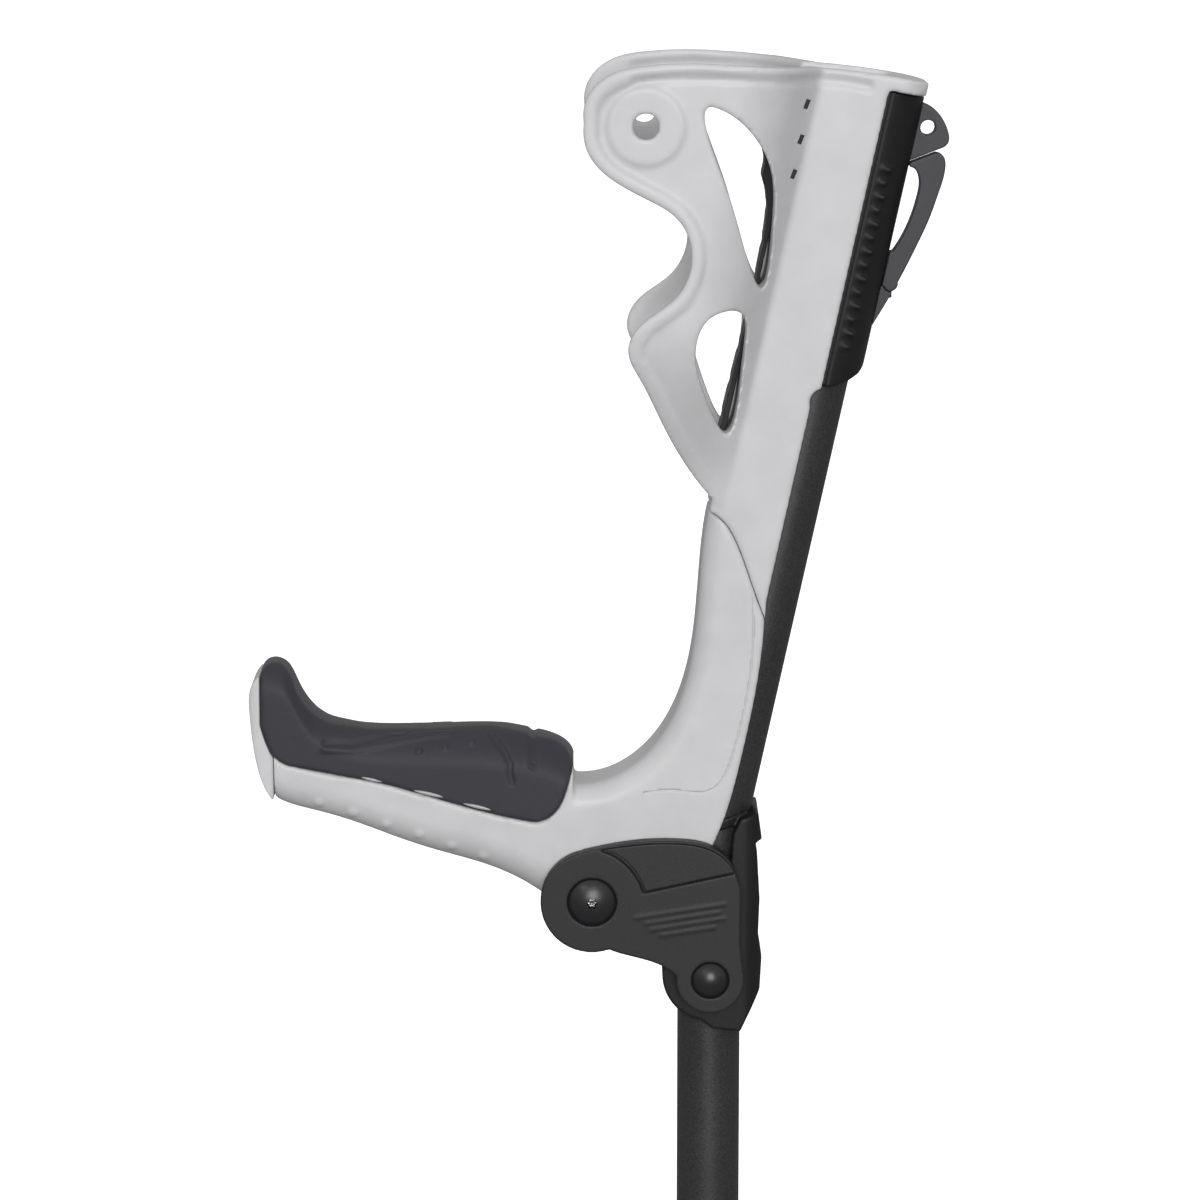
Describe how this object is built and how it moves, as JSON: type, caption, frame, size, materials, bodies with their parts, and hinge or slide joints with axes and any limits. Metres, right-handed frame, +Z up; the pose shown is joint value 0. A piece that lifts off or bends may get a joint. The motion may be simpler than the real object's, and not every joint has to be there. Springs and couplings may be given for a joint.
{
  "type": "forearm crutch",
  "caption": "Forearm crutch with an open moulded cuff and anatomical grip on a sprung lever linkage, a bent tube and a telescopic leg with a rubber foot.",
  "frame": {"origin": "centre of the ferrule's tread, on the ground", "axes": "+Z up the lower tube's axis, the hand grip points along -X, +Y to the side; the crutch is symmetric about Y = 0 apart from bolt heads and nuts"},
  "size_m": [0.273, 0.0928, 1.1432],
  "materials": {
    "tube_black": "satin black powder coat",
    "leg_metal": "dark anodised",
    "black_plastic": "fine-grained black moulding",
    "light_plastic": "light grey satin moulding",
    "grip_rubber": "soft blue-black rubber",
    "foot_rubber": "matt black rubber",
    "dark_plastic": "dark grey moulding",
    "bolt_black": "black oxide steel",
    "plain_steel": "plain steel",
    "bush_plastic": "self-lubricating plastic"
  },
  "bodies": {
    "shaft": {"main_tube": "tube_black", "tube_collar": "black_plastic", "guide_plug": "bush_plastic", "knuckle_bracket": "black_plastic", "lower_pivot_bolt": "bolt_black", "lower_pivot_nut": "bolt_black"},
    "leg": {"inner_tube": "leg_metal", "button_spring": "plain_steel", "ferrule": "foot_rubber", "ferrule_washer": "plain_steel"},
    "button": {"snap_button": "plain_steel"},
    "lever": {"suspension_lever": "black_plastic", "lever_cover_left": "black_plastic", "lever_cover_right": "black_plastic", "lower_pivot_bushes": "bush_plastic", "front_pivot_bolt": "bolt_black", "front_pivot_nut": "bolt_black", "damper_block": "foot_rubber"},
    "handle_unit": {"cuff_frame": "light_plastic", "forearm_pad": "foot_rubber", "guide_sleeve": "black_plastic", "hanging_eye": "dark_plastic", "clip_base": "dark_plastic", "clip_pin": "plain_steel", "handle_frame": "light_plastic", "front_pivot_bush": "bush_plastic", "handle_end_cap": "light_plastic", "grip_pad": "grip_rubber"},
    "clip": {"clip_lever": "dark_plastic"}
  },
  "joints": [
    {"name": "lever_swing", "type": "hinge", "parent": "shaft", "child": "lever", "pos_m": [0, 0, 0.782], "axis": [0, -1, 0], "range_deg": [0, 8], "stiffness_Nm_per_rad": 60, "springref_deg": -1.72, "deforming": ["damper_block"]},
    {"name": "handle_pivot", "type": "hinge", "parent": "lever", "child": "handle_unit", "pos_m": [-0.0466, 0, 0.8137], "axis": [0, -1, 0], "range_deg": [-8.6, 0]},
    {"name": "clip_swing", "type": "hinge", "parent": "handle_unit", "child": "clip", "pos_m": [0.0696, 0, 1.0554], "axis": [0, 1, 0], "range_deg": [0, 15], "stiffness_Nm_per_rad": 0.05, "springref_deg": -11.46},
    {"name": "leg_slide", "type": "slide", "parent": "shaft", "child": "leg", "axis": [0, 0, 1], "range_m": [-0.075, 0.075]},
    {"name": "button_press", "type": "slide", "parent": "leg", "child": "button", "axis": [-1, 0, 0], "range_m": [0, 0.0046], "stiffness_N_per_m": 600, "springref_m": -0.003, "deforming": ["button_spring"]}
  ],
  "couplings": [
    {"joint": "handle_pivot", "follows": "lever_swing", "ratio": -1.06}
  ]
}
